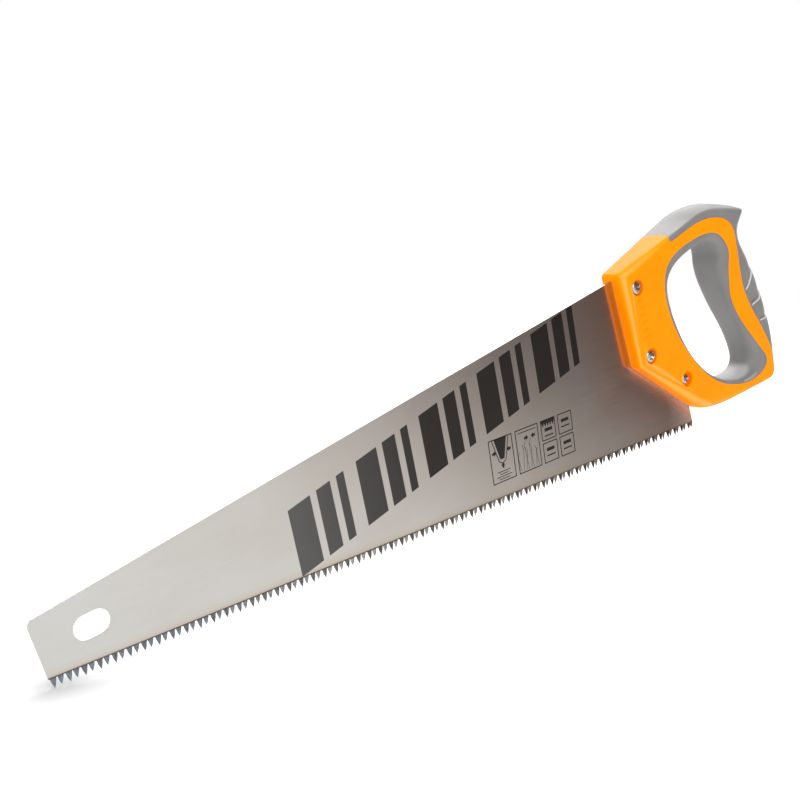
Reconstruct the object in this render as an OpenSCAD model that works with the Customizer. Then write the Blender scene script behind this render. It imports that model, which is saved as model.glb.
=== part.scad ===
// Hand saw: a toothed steel blade held in a closed two-shot handle by three screws.
// X runs from the toe to the handle, Z is up with the teeth down, and Y = 0 is the
// blade's middle plane. The origin is the middle of the hand grip.

/* [Blade] */
// Length of the toothed edge
blade_len = 450; // [400:10:500]
// Thickness of the blade
blade_t = 0.9; // [0.7:0.1:1.2]
// Teeth per inch
tpi = 7; // [5:1:10]
// Depth of the teeth
tooth_depth = 4.6; // [2:0.1:5]
// Angle that each tooth is bent out of the blade
tooth_set = 4.5; // [0:0.5:9]
// Height of the toe, from the tooth line to the back
toe_height = 29; // [26:1:40]
// Width of the slot that the saw hangs by
hang_slot_w = 12; // [8:1:14]
// Length of the slot that the saw hangs by
hang_slot_len = 17.7; // [14:0.1:24]

/* [Handle] */
// Half of the handle's thickness at its front upper corner
cheek_half = 9.8; // [9:0.1:11]
// Depth of the grooves across the palm grip
groove_depth = 0.9; // [0.5:0.1:1.5]
// Width of the grooves across the palm grip
groove_w = 1; // [0.6:0.1:1.6]

/* [Fasteners] */
// Diameter of the counterbores
counterbore_d = 10; // [9:0.1:11]
// Diameter of the large screw heads
screw_head_d = 8.2; // [7:0.1:8.8]
// Diameter of the small screw head
small_head_d = 7; // [6:0.1:8]
// Diameter of the screw shanks
shank_d = 4; // [3:0.1:4.5]
// Outer diameter of the sleeve nuts
sleeve_d = 6; // [5.5:0.1:6.5]
// Diameter of the sleeve nuts' heads
nut_head_d = 9.4; // [8:0.1:9.8]

/* [Hidden] */
$fn = 64;

// Middle of the hand grip, from the heel end of the tooth line
grip_x = 48;
grip_z = 78;

pitch = 25.4 / tpi;
// Extra gap between the blade and the slot that it sits in, on each side
slot_gap = 0.05;
// How far a tooth's own solid reaches up into the plate
tooth_root = 0.1;

// Corners of the handle, seen from the side, from the front upper corner round past the
// bottom to the horn: [x, z, how far its rounding reaches along the edges, edge fillet,
// how far the two side faces stand back in x, and in z].
HANDLE = [
    [-71.4, 111, 2, 5.5, 0, 0],
    [-58.9, 49.9, 2, 2.5, 0, 0],
    [-1, 8.2, 9, 8, 0, 0],
    [20, 5.3, 30, 8, 0, 0],
    [50, 9.8, 30, 4, 0, 0],
    [78.5, 13.3, 7, 3, 0, 0],
    [78.5, 49, 12, 9, 0, 0],
    [63, 89, 40, 9, 0, 0],
    [43, 119, 12, 7, 0, 0],
    [56, 134, 3, 2, -8, 0],
    [43, 138.5, 14, 1.5, -3, -3],
    [9, 143.8, 16, 1.5, 0, -4.6],
    [-13, 131.8, 10, 1.5, 0, 0],
];
// Corners of the finger opening at its narrowest: the same numbers
OPENING = [
    [-24, 109, 40, 3, 0, 0],
    [-31.5, 93, 40, 3, 0, 0],
    [-15.5, 54, 40, 3, 0, 0],
    [9.5, 28, 40, 3, 0, 0],
    [37, 20.5, 40, 4, 0, 0],
    [54.5, 27.5, 40, 8, 0, 0],
    [50, 46, 40, 7, 0, 0],
    [32.5, 73, 40, 7, 0, 0],
    [21.5, 97, 40, 6, 0, 0],
    [23.5, 114, 40, 5, 0, 0],
    [7, 120, 40, 4, 0, 0],
];
// Corners of the line where the finger lining meets the core: [x, z, rounding]
LINING_EDGE = [
    [-28, 116, 40], [-35, 94, 40], [-22, 59, 40], [10.5, 23.5, 40], [49, 14, 40],
    [72.5, 25.5, 40], [55.5, 43.5, 40], [32.5, 76, 40], [29.5, 97, 40], [32.5, 111.5, 40],
    [16.5, 127, 40],
];
// Corners of the region that the palm grip fills: the first seven are the line where it
// meets the core, and the rest lie outside the handle
PALM_REGION = [
    [-25, 123.7, 2], [8, 135, 40], [36.5, 129.5, 40], [41, 102, 40], [45, 78, 40],
    [68, 45, 40], [79, 23, 2], [100, 23, 2], [100, 160, 2], [-36, 160, 2],
    [-32, 128.5, 2],
];
// Corners of the part of the blade that the handle hides
TANG = [[-58.9, 49.9], [-5.4, 12.2], [-6, 26], [-9, 38], [-20, 46], [-35, 62], [-43, 82],
        [-45, 104], [-49, 111.5], [-70.5, 107]];
// Middles of the screws
SCREW_UPPER = [-57.2, 100.6];
SCREW_MIDDLE = [-48.1, 55.3];
SCREW_LOWER = [-15.6, 32.9];
// Depths of the counterbores' floors below the side face
FLOOR = 2.2;
FLOOR_LOWER = 3;
// Grooves across the palm grip: [x, z, tilt] of the point where each crosses the back edge
GROOVES = [[60, 92, -38], [67.5, 75, -30], [74, 58, -14]];

// Half of the handle's thickness over a point: both side faces are planes that part
// towards the top and the rear
function half_t(x, z) = cheek_half + 0.035 * (x + 69) + 0.03 * (z - 112);

function unit(v) = v / norm(v);
function outward(a, b) = let (u = unit(b - a)) [u.y, -u.x];
function xz(c) = [c[0], c[1]];
function wrap(list, i) = list[(i + len(list)) % len(list)];

// A corner's rounding takes no more than this share of an edge
most_reach = 0.48;

// Points of a closed outline whose corners are rounded by one quadratic arc each
function rounded(corners) = [
    for (i = [0:len(corners) - 1])
        let (
            a = xz(wrap(corners, i - 1)),
            b = xz(corners[i]),
            c = xz(wrap(corners, i + 1)),
            reach = corners[i][2],
            from = b + unit(a - b) * min(reach, norm(a - b) * most_reach),
            to = b + unit(c - b) * min(reach, norm(c - b) * most_reach),
            steps = reach > 6 ? 5 : 3
        )
        for (k = [0:steps])
            let (t = k / steps)
            (1 - t) ^ 2 * from + 2 * t * (1 - t) * b + t ^ 2 * to
];

// How far a fillet of radius r has drawn the outline in, at u of the half thickness h
function fillet(r, h, u) =
    let (s = 0.98 * max(0, abs(u) * h - (h - r)) / r)
    r * (1 - sqrt(1 - s * s));

// The corners at u of the half thickness, from -1 at one side face to 1 at the other.
// way is 1 for a solid, whose fillets draw in, and -1 for an opening, whose fillets flare.
function corners_at(corners, u, way, inset) = [
    for (i = [0:len(corners) - 1])
        let (
            p = corners[i],
            n1 = outward(xz(wrap(corners, i - 1)), xz(p)),
            n2 = outward(xz(p), xz(wrap(corners, i + 1))),
            mitre = (n1 + n2) / (1 + n1 * n2),
            d = way * fillet(p[3], half_t(p[0], p[1]), min(1, abs(u))) + inset
        )
        [each xz(p) + [p[4], p[5]] * u * u - mitre * d, p[2]]
];

// One closed solid through an outline's rings, one for each value of u in levels
module rings(corners, levels, way = 1, inset = 0) {
    loops = [for (u = levels) [for (q = rounded(corners_at(corners, u, way, inset)))
        [q.x, u * half_t(q.x, q.y) * (1 - inset / 10), q.y]]];
    n = len(loops[0]);
    last = len(levels) - 1;
    polyhedron(
        points = [for (loop = loops) each loop],
        faces = [
            [for (i = [n - 1:-1:0]) i],
            [for (i = [0:n - 1]) last * n + i],
            for (k = [0:last - 1], i = [0:n - 1])
                let (j = (i + 1) % n, a = k * n, b = a + n)
                each [[a + i, b + j, b + i], [a + i, a + j, b + j]]
        ]
    );
}

LEVELS = [0.35, 0.58, 0.75, 0.88, 0.96, 1];
SOLID_LEVELS = [for (i = [len(LEVELS) - 1:-1:0]) -LEVELS[i], 0, each LEVELS];
// The opening's last level lies just outside the side faces, so that it crosses them
CUT_LEVELS = [-1.3, -1.02, for (i = [len(LEVELS) - 2:-1:0]) -LEVELS[i], 0,
              for (i = [0:len(LEVELS) - 2]) LEVELS[i], 1.02, 1.3];

// A prism along Y on an outline given in x and z
module prism(points, t) {
    rotate([90, 0, 0]) linear_extrude(t, center = true) polygon(points);
}

module along_y(at, y) {
    translate([at.x, y, at.y]) rotate([-90, 0, 0]) children();
}

module handle_solid(inset = 0) {
    rings(HANDLE, SOLID_LEVELS, 1, inset);
}

module opening() {
    rings(OPENING, CUT_LEVELS, -1);
}

// The space of the palm grip: its front end is hollowed by the core's round shoulder
module palm_space() {
    difference() {
        prism(rounded(PALM_REGION), 60);
        translate([-44, 0, 100]) cylinder(r = 21, h = 60);
    }
}

// Blade's hidden part, grown by d for the pocket that it sits in
function grown(points, d) = [
    for (i = [0:len(points) - 1])
        let (
            n1 = outward(wrap(points, i - 1), points[i]),
            n2 = outward(points[i], wrap(points, i + 1))
        )
        points[i] + (n1 + n2) / (1 + n1 * n2) * d
];

module tooth(i) {
    side = i % 2 == 0 ? -1 : 1;
    translate([-blade_len + i * pitch, 0, 0])
        rotate([side * tooth_set, 0, 0])
            prism([[-pitch * 0.36, tooth_root], [0, -tooth_depth], [pitch * 0.36, tooth_root]],
                  blade_t - 0.04);
}

module blade() {
    toe = -blade_len - 3;
    plate = [
        [toe + 1, 0], [-3, 0], each [for (i = [1:9]) TANG[i]],
        [toe + 0.2, toe_height], [toe - 1.4, toe_height - 0.5], [toe - 2.6, toe_height - 1.6],
        [toe - 3.1, toe_height - 3.6],
    ];
    slot_half = (hang_slot_len - hang_slot_w) / 2;
    color("silver") difference() {
        union() {
            prism(plate, blade_t);
            for (i = [0:floor(blade_len / pitch) - 1]) tooth(i);
        }
        translate([-blade_len + 21.7, 0, 17]) rotate([0, -6, 0]) {
            for (x = [-slot_half, slot_half])
                along_y([x, 0], -2) cylinder(d = hang_slot_w, h = 4);
            cube([2 * slot_half, 4, hang_slot_w], center = true);
        }
        for (at = [SCREW_UPPER, SCREW_MIDDLE, SCREW_LOWER])
            along_y(at, -2) cylinder(d = sleeve_d, h = 4);
    }
}

// Counterbores from both sides and the through bore of one screw
module screw_hole(at, floor) {
    y = half_t(at.x, at.y) - floor;
    along_y(at, -20) cylinder(d = sleeve_d, h = 40);
    along_y(at, y) cylinder(d = counterbore_d, h = 20);
    along_y(at, -y - 20) cylinder(d = counterbore_d, h = 20);
}

module handle_core() {
    pocket = grown(TANG, 0.4);
    color("orange") difference() {
        handle_solid();
        palm_space();
        prism(rounded(LINING_EDGE), 60);
        opening();
        prism([[-90, 40], [-8, -18], each [for (i = [1:8]) pocket[i]], [-90, 103]],
              blade_t + 2 * slot_gap);
        screw_hole(SCREW_UPPER, FLOOR);
        screw_hole(SCREW_MIDDLE, FLOOR);
        screw_hole(SCREW_LOWER, FLOOR_LOWER);
    }
}

module palm_grip() {
    color("gray") difference() {
        intersection() {
            handle_solid();
            palm_space();
        }
        for (g = GROOVES)
            difference() {
                translate([g[0], 0, g[1]]) rotate([0, g[2], 0])
                    translate([-8, -20, -groove_w / 2]) cube([30, 40, groove_w]);
                handle_solid(groove_depth);
            }
    }
}

module finger_lining() {
    color("dimgray") difference() {
        intersection() {
            handle_solid();
            prism(rounded(LINING_EDGE), 60);
        }
        opening();
    }
}

// A screw from the -Y side, with a cross recess in its head
module screw(at, floor, head_d) {
    y = half_t(at.x, at.y) - floor;
    color("gainsboro") difference() {
        union() {
            along_y(at, -y - 1.7) cylinder(d = head_d, h = 1.7);
            along_y(at, -y) cylinder(d = shank_d, h = 2 * y - 1);
        }
        for (turn = [20, 110])
            translate([at.x, -y - 1.7, at.y]) rotate([0, turn, 0])
                cube([head_d * 0.6, 2.4, 0.9], center = true);
    }
}

// A sleeve nut from the +Y side
module nut(at, floor) {
    y = half_t(at.x, at.y) - floor;
    color("gainsboro") difference() {
        union() {
            along_y(at, y) cylinder(d = nut_head_d, h = 1.6);
            along_y(at, -y + 0.5) cylinder(d = sleeve_d, h = 2 * y - 0.5);
        }
        along_y(at, -y - 1) cylinder(d = shank_d, h = 2 * y);
    }
}

module placed() {
    translate([-grip_x, 0, -grip_z]) children();
}

placed() blade();
placed() handle_core();
placed() palm_grip();
placed() finger_lining();
placed() screw(SCREW_UPPER, FLOOR, screw_head_d);  // screw_upper
placed() screw(SCREW_MIDDLE, FLOOR, screw_head_d);  // screw_middle
placed() screw(SCREW_LOWER, FLOOR_LOWER, small_head_d);  // screw_lower
placed() nut(SCREW_UPPER, FLOOR);  // nut_upper
placed() nut(SCREW_MIDDLE, FLOOR);  // nut_middle
placed() nut(SCREW_LOWER, FLOOR_LOWER);  // nut_lower
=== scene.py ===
"""A hand saw: a toothed steel blade in a closed two-colour handle, on a plain pale floor."""

import math

import bmesh
import bpy
import numpy as np
from mathutils import Matrix, Vector
from mathutils.geometry import tessellate_polygon

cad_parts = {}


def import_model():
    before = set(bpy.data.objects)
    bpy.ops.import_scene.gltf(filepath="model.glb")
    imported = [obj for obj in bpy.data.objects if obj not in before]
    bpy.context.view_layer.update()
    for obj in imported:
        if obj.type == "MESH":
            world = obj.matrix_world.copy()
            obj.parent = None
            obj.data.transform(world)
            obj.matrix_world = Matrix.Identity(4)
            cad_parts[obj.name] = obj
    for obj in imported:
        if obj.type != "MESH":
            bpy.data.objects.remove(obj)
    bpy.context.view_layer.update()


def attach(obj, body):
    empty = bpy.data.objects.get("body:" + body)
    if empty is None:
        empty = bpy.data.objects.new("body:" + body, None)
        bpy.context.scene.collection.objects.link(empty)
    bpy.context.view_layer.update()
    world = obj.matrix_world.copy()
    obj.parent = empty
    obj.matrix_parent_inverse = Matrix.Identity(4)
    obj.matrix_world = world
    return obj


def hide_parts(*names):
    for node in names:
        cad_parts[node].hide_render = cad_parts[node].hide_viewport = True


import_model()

# Sizes are in millimetres, in the design's own frame: X = 0 and Z = 0 are the heel end of
# the tooth line and Y = 0 is the blade's middle plane. The row's origin is the middle of
# the hand grip. TOOTH_LINE is the height of the tooth line in the row's frame, in metres.
GRIP = Vector((48, 0, 78))
MM = 0.001
TOOTH_LINE = -GRIP.z * MM

BLADE_LEN = 450
BLADE_T = 0.9
BLADE_CHAMFER = 0.06
PITCH = 25.4 / 7
TOOTH_DEPTH = 4.6
TOOTH_SET = math.radians(4.5)
TOE_HEIGHT = 29
SLOT_W = 12
SLOT_LEN = 17.7
SLOT_MIDDLE = Vector((21.7 - BLADE_LEN, 17))
SLOT_TURN = math.radians(6)

# Half of the handle's thickness at one point of it, and how it grows along X and up Z
CHEEK_HALF = 9.8
CHEEK_AT = Vector((-69, 112))
CHEEK_GROWS = Vector((0.035, 0.03))

# Where the screws are, how thick the plastic is under their heads, and the heads' widths
SCREWS = {"upper": (-57.2, 100.6), "middle": (-48.1, 55.3), "lower": (-15.6, 32.9)}
FLOORS = {"upper": 2.2, "middle": 2.2, "lower": 3}
HEADS = {"upper": 8.2, "middle": 8.2, "lower": 7}
COUNTERBORE_D = 10
RIM_CHAMFER = 0.45
SLEEVE_D = 6
SHANK_D = 4
NUT_HEAD_D = 9.4

# Corners of the handle and of its finger opening, seen from the side: x, z, how far the
# rounding reaches along the edges, the edge fillet, and how far the two side faces stand
# back in x and in z.
HANDLE = [
    (-71.4, 111, 2, 5.5, 0, 0),
    (-58.9, 49.9, 2, 2.5, 0, 0),
    (-1, 8.2, 9, 8, 0, 0),
    (20, 5.3, 30, 8, 0, 0),
    (50, 9.8, 30, 4, 0, 0),
    (78.5, 13.3, 7, 3, 0, 0),
    (78.5, 49, 12, 9, 0, 0),
    (63, 89, 40, 9, 0, 0),
    (43, 119, 12, 7, 0, 0),
    (56, 134, 3, 2, -8, 0),
    (43, 138.5, 14, 1.5, -3, -3),
    (9, 143.8, 16, 1.5, 0, -4.6),
    (-13, 131.8, 10, 1.5, 0, 0),
]
OPENING = [
    (-24, 109, 40, 3, 0, 0),
    (-31.5, 93, 40, 3, 0, 0),
    (-15.5, 54, 40, 3, 0, 0),
    (9.5, 28, 40, 3, 0, 0),
    (37, 20.5, 40, 4, 0, 0),
    (54.5, 27.5, 40, 8, 0, 0),
    (50, 46, 40, 7, 0, 0),
    (32.5, 73, 40, 7, 0, 0),
    (21.5, 97, 40, 6, 0, 0),
    (23.5, 114, 40, 5, 0, 0),
    (7, 120, 40, 4, 0, 0),
]
# Outer edge of the finger lining, and the palm grip's space: x, z, reach of the rounding
LINING_EDGE = [
    (-28, 116, 40), (-35, 94, 40), (-22, 59, 40), (10.5, 23.5, 40), (49, 14, 40),
    (72.5, 25.5, 40), (55.5, 43.5, 40), (32.5, 76, 40), (29.5, 97, 40), (32.5, 111.5, 40),
    (16.5, 127, 40),
]
PALM_REGION = [
    (-25, 123.7, 2), (8, 135, 40), (36.5, 129.5, 40), (41, 102, 40), (45, 78, 40),
    (68, 45, 40), (79, 23, 2), (100, 23, 2), (100, 160, 2), (-36, 160, 2), (-32, 128.5, 2),
]
# The palm grip's front end fits round an upright cylinder of the core
SHOULDER_X = -44
SHOULDER_R = 21

# The blade's outline inside the handle: x, z
TANG = [(-58.9, 49.9), (-5.4, 12.2), (-6, 26), (-9, 38), (-20, 46), (-35, 62), (-43, 82),
        (-45, 104), (-49, 111.5), (-70.5, 107)]

# Name of the mesh attribute that holds painted light: how much paler a surface is painted,
# as a painted highlight or as light falling on it
LIGHT_PAINT_LAYER = "painted_light"

# The printed band's first corner, at the toe's end, and where the print is darkest
BAND_START = Vector((-318.3, 0.6))
BAND_DARK_X = -100

# How finely outlines and fillets are stepped: arcs of a short reach take half the steps,
# and no arc takes more than this part of an edge
ARC_STEPS = 12
SHORT_REACH = 6
MOST_REACH = 0.48
FILLET_STEPS = 9
MIDDLE_STEPS = 4

# How far a cutter reaches to each side, past the handle
THROUGH = 30


# ---------------------------------------------------------------- outlines and solids

def half_t(x, z):
    """Half of the handle's thickness over a point: the side faces part to the top and rear."""
    return CHEEK_HALF + CHEEK_GROWS.dot(Vector((x, z)) - CHEEK_AT)


def mitre(corners, i):
    """Outward vector at corner i that moves both of its edges out by one."""
    a, b, c = (Vector(corners[k % len(corners)][:2]) for k in (i - 1, i, i + 1))
    d1, d2 = (b - a).normalized(), (c - b).normalized()
    n1, n2 = Vector((d1.y, -d1.x)), Vector((d2.y, -d2.x))
    return (n1 + n2) / (1 + n1.dot(n2))


def flat(v):
    return math.hypot(v[0], v[1])


def rounded(corners):
    """Closed outline whose corners are each rounded by one quadratic arc. A corner is
    (vector, reach), and the vector may carry more than x and z."""
    points = []
    for i, (b, reach) in enumerate(corners):
        a, c = corners[i - 1][0], corners[(i + 1) % len(corners)][0]
        start = b + (a - b) * min(reach / flat(a - b), MOST_REACH)
        end = b + (c - b) * min(reach / flat(c - b), MOST_REACH)
        n = ARC_STEPS if reach > SHORT_REACH else ARC_STEPS // 2
        for k in range(n + 1):
            t = k / n
            points.append((1 - t) ** 2 * start + 2 * t * (1 - t) * b + t * t * end)
    return points


def ring(corners, side, level, fillet_part, way):
    """One ring of a filleted solid as points (x, z, y). level runs from 0 at the middle
    plane to 1 where the fillet starts, and fillet_part from 0 to 1 round the fillet, which
    draws the outline in where way is 1 and widens it where way is -1."""
    turned = fillet_part * math.pi / 2
    made = []
    for i, (x, z, reach, fillet, *stand_back) in enumerate(corners):
        h = half_t(x, z)
        drawn_in = way * fillet * (1 - math.cos(turned))
        y = (h - fillet) * level + fillet * math.sin(turned)
        crown = (y / h) ** 2
        at = Vector((x, z)) + Vector(stand_back) * crown - mitre(corners, i) * drawn_in
        y *= half_t(*at) / h
        made.append((Vector((at.x, at.y, side * y)), reach))
    return rounded(made)


def solid(name, rings):
    """A closed mesh object through rings of points (x, z, y)."""
    n, verts, faces = len(rings[0]), [], []
    for loop in rings:
        verts += [Vector((p[0], p[2], p[1])) for p in loop]
    for k in range(len(rings) - 1):
        for i in range(n):
            j = (i + 1) % n
            faces.append((k * n + i, k * n + j, (k + 1) * n + j, (k + 1) * n + i))
    faces.append(tuple(reversed(range(n))))
    faces.append(tuple(range((len(rings) - 1) * n, len(rings) * n)))
    return new_object(name, verts, faces)


def new_object(name, verts, faces):
    """A mesh object from points (x, y, z) in the design's frame."""
    mesh = bpy.data.meshes.new(name)
    mesh.from_pydata([(Vector(v) - GRIP) * MM for v in verts], [], faces)
    bm = bmesh.new()
    bm.from_mesh(mesh)
    bmesh.ops.remove_doubles(bm, verts=bm.verts, dist=1e-7)
    bmesh.ops.recalc_face_normals(bm, faces=bm.faces)
    bm.to_mesh(mesh)
    bm.free()
    obj = bpy.data.objects.new(name, mesh)
    bpy.context.scene.collection.objects.link(obj)
    return obj


def filleted(name, corners, way=1, beyond=0):
    """The solid on an outline between the two side faces, with filleted edges. beyond
    takes a cutter that far past the side faces."""
    half = [(m / MIDDLE_STEPS, 0) for m in range(MIDDLE_STEPS)]
    half += [(1, k / FILLET_STEPS) for k in range(FILLET_STEPS + 1)]
    rings = [ring(corners, -1, *part, way) for part in reversed(half)]
    rings += [ring(corners, 1, *part, way) for part in half[1:]]
    if beyond:
        outer = [[p + Vector((0, 0, math.copysign(beyond, p[2]))) for p in rings[end]]
                 for end in (0, -1)]
        rings = [outer[0], *rings, outer[1]]
    return solid(name, rings)


def prism(name, outline, y0, y1):
    """A straight solid along Y on an outline of points (x, z)."""
    return solid(name, [[Vector((p[0], p[1], y)) for p in outline] for y in (y0, y1)])


def region(name, corners, grow):
    """A straight cutter on a rounded outline, which is moved out by grow."""
    moved = [(Vector(p[:2]) + mitre(corners, i) * grow, p[2]) for i, p in enumerate(corners)]
    return prism(name, rounded(moved), -THROUGH, THROUGH)


def lathe(name, profile, at, steps=48):
    """A solid of revolution about the Y axis through at, on a profile of (radius, y)."""
    verts, faces, n = [], [], len(profile)
    for k in range(steps):
        a = 2 * math.pi * k / steps
        for r, y in profile:
            verts.append((at[0] + r * math.cos(a), y, at[1] + r * math.sin(a)))
    for k in range(steps):
        for i in range(n - 1):
            j, m = (k + 1) % steps * n, k * n
            faces.append((m + i, m + i + 1, j + i + 1, j + i))
    return new_object(name, verts, faces)


def boolean(obj, *cutters, operation="DIFFERENCE"):
    """Cuts obj with each of the cutters, or joins or intersects them. The cutters go."""
    for cutter in cutters:
        mod = obj.modifiers.new("cut", "BOOLEAN")
        mod.operation, mod.object, mod.solver = operation, cutter, "EXACT"
        bake(obj)
    remove(*cutters)


def bake(obj):
    """Applies an object's modifiers."""
    bpy.context.view_layer.update()
    graph = bpy.context.evaluated_depsgraph_get()
    mesh = bpy.data.meshes.new_from_object(obj.evaluated_get(graph))
    obj.modifiers.clear()
    obj.data = mesh


def remove(*objs):
    for obj in objs:
        bpy.data.objects.remove(obj)


def clean(obj):
    """Merges points that coincide and removes slivers, so that the mesh stays closed."""
    reach = 0.001 * MM
    bm = bmesh.new()
    bm.from_mesh(obj.data)
    bmesh.ops.remove_doubles(bm, verts=bm.verts, dist=reach)
    bmesh.ops.dissolve_degenerate(bm, edges=bm.edges, dist=reach)
    bmesh.ops.triangulate(bm, faces=[f for f in bm.faces if len(f.verts) > 4])
    bmesh.ops.dissolve_degenerate(bm, edges=bm.edges, dist=reach)
    bm.to_mesh(obj.data)
    bm.free()


def soften(obj, angle=30):
    """Smooth shading that keeps edges sharper than angle, in degrees."""
    clean(obj)
    obj.data.polygons.foreach_set("use_smooth", [True] * len(obj.data.polygons))
    obj.data.set_sharp_from_angle(angle=math.radians(angle))
    mod = obj.modifiers.new("normals", "WEIGHTED_NORMAL")
    mod.keep_sharp = True
    mod.weight = 100
    bake(obj)


# ---------------------------------------------------------------- materials

def material(name):
    """A new material, its node tree and its Principled shader."""
    mat = bpy.data.materials.new(name)
    mat.use_nodes = True
    tree = mat.node_tree
    return mat, tree, tree.nodes["Principled BSDF"]


def node(tree, kind, **values):
    """A new node: values are its sockets' and its own properties."""
    made = tree.nodes.new(kind)
    for key, value in values.items():
        if key in made.inputs:
            made.inputs[key].default_value = value
        else:
            setattr(made, key, value)
    return made


def place(tree, scale=(1, 1, 1)):
    """The object's own coordinates, stretched by scale."""
    coords = node(tree, "ShaderNodeTexCoord")
    mapping = node(tree, "ShaderNodeMapping", Scale=scale)
    tree.links.new(coords.outputs["Object"], mapping.inputs["Vector"])
    return mapping.outputs["Vector"]


def noise(tree, vector, scale, detail=4):
    """Cloudy noise, finer with a larger scale."""
    made = node(tree, "ShaderNodeTexNoise", Scale=scale, Detail=detail)
    tree.links.new(vector, made.inputs["Vector"])
    return made.outputs["Fac"]


def ramp(tree, value, *stops):
    """Colours or greys by value: stops are (position, colour)."""
    made = tree.nodes.new("ShaderNodeValToRGB")
    tree.links.new(value, made.inputs["Fac"])
    points = made.color_ramp.elements
    while len(points) < len(stops):
        points.new(0.5)
    for point, (position, colour) in zip(points, stops):
        point.position = position
        if isinstance(colour, (int, float)):
            colour = (colour,) * 3
        point.color = (*colour, 1)
    return made.outputs["Color"]


def mix(tree, factor, a, b, blend="MIX"):
    """Two colours mixed. Each value may be a socket, a colour or a number."""
    made = node(tree, "ShaderNodeMix", data_type="RGBA", blend_type=blend)
    sockets = [s for s in made.inputs if s.type == "RGBA"]
    for socket, value in ((made.inputs["Factor"], factor), (sockets[0], a), (sockets[1], b)):
        if isinstance(value, bpy.types.NodeSocket):
            tree.links.new(value, socket)
        elif isinstance(value, tuple):
            socket.default_value = (*value, 1)
        else:
            socket.default_value = value
    return next(s for s in made.outputs if s.type == "RGBA")


def multiply(tree, a, b):
    return mix(tree, 1.0, a, b, "MULTIPLY")


def bump(tree, shader, height, strength, distance):
    made = node(tree, "ShaderNodeBump", Strength=strength, Distance=distance)
    tree.links.new(height, made.inputs["Height"])
    tree.links.new(made.outputs["Normal"], shader.inputs["Normal"])


# How much paler the mesh is painted at a point, as painted highlight or painted light
def painted_light_amount(tree):
    return node(tree, "ShaderNodeAttribute", attribute_name=LIGHT_PAINT_LAYER).outputs["Fac"]


def plastic():
    """Orange moulded plastic: semi-gloss, with a fine spark-eroded grain, and painted paler
    on its front fillets as a painted highlight."""
    mat, tree, shader = material("orange_plastic")
    cloudy = noise(tree, place(tree), 45, 3)
    orange = ramp(tree, cloudy, (0.3, (0.97, 0.235, 0.0)), (0.7, (1.0, 0.258, 0.0)))
    # Painted highlight: the plastic is painted paler on its front fillets
    colour = mix(tree, painted_light_amount(tree), orange, (1.0, 0.4, 0.09))
    tree.links.new(colour, shader.inputs["Base Color"])
    grain = noise(tree, place(tree), 2600, 2)
    rough = ramp(tree, grain, (0.3, 0.32), (0.7, 0.4))
    tree.links.new(rough, shader.inputs["Roughness"])
    bump(tree, shader, grain, 0.12, 0.00008)
    shader.inputs["Specular IOR Level"].default_value = 0.06
    shader.inputs["Specular Tint"].default_value = (1.0, 0.55, 0.1, 1)
    return mat


def rubber():
    """Grey soft-touch rubber: matt and finely stippled, and painted paler as a highlight on the
    grip's lips and as light on the opening's upward faces.
    """
    mat, tree, shader = material("grey_rubber")
    cloudy = noise(tree, place(tree), 60, 4)
    grey = ramp(tree, cloudy, (0.3, (0.153, 0.149, 0.146)), (0.7, (0.177, 0.172, 0.168)))
    # Painted highlight on the grip's lips and painted light on the opening's upward faces
    colour = mix(tree, painted_light_amount(tree), grey, (0.6, 0.59, 0.58))
    tree.links.new(colour, shader.inputs["Base Color"])
    stipple = noise(tree, place(tree), 3400, 2)
    rough = ramp(tree, stipple, (0.3, 0.42), (0.7, 0.54))
    tree.links.new(rough, shader.inputs["Roughness"])
    bump(tree, shader, stipple, 0.25, 0.0001)
    shader.inputs["Sheen Weight"].default_value = 0.06
    shader.inputs["Sheen Roughness"].default_value = 0.5
    return mat


def along(tree, axis):
    """One of the object's own coordinates, in metres."""
    coords = node(tree, "ShaderNodeTexCoord")
    split = node(tree, "ShaderNodeSeparateXYZ")
    tree.links.new(coords.outputs["Object"], split.inputs["Vector"])
    return split.outputs[axis]


def brushing(tree):
    """The blade's brushed streaks, which run along it."""
    return noise(tree, place(tree, (4, 60, 300)), 7, 6)


def rescale(tree, value, low, high):
    """value, moved from the range low to high onto 0 to 1."""
    made = node(tree, "ShaderNodeMapRange")
    made.inputs["From Min"].default_value = low
    made.inputs["From Max"].default_value = high
    tree.links.new(value, made.inputs["Value"])
    return made.outputs["Result"]


def x_part(tree, low, high):
    """How far along X a point lies, from 0 at low to 1 at high, in mm."""
    return rescale(tree, along(tree, "X"), (low - GRIP.x) * MM, (high - GRIP.x) * MM)


def beyond_edge(tree, a, b, reach):
    """How far a point of the blade lies outside the handle's edge from a to b, from 0 at
    the edge to 1 at reach, in mm."""
    run = (Vector(b) - Vector(a)).normalized()
    out = Vector((run.y, 0, -run.x))
    offset = node(tree, "ShaderNodeVectorMath", operation="DOT_PRODUCT")
    offset.inputs[1].default_value = out
    coords = node(tree, "ShaderNodeTexCoord")
    tree.links.new(coords.outputs["Object"], offset.inputs[0])
    edge = out.dot((Vector((a[0], 0, a[1])) - GRIP) * MM)
    return rescale(tree, offset.outputs["Value"], edge, edge + reach * MM)


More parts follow.
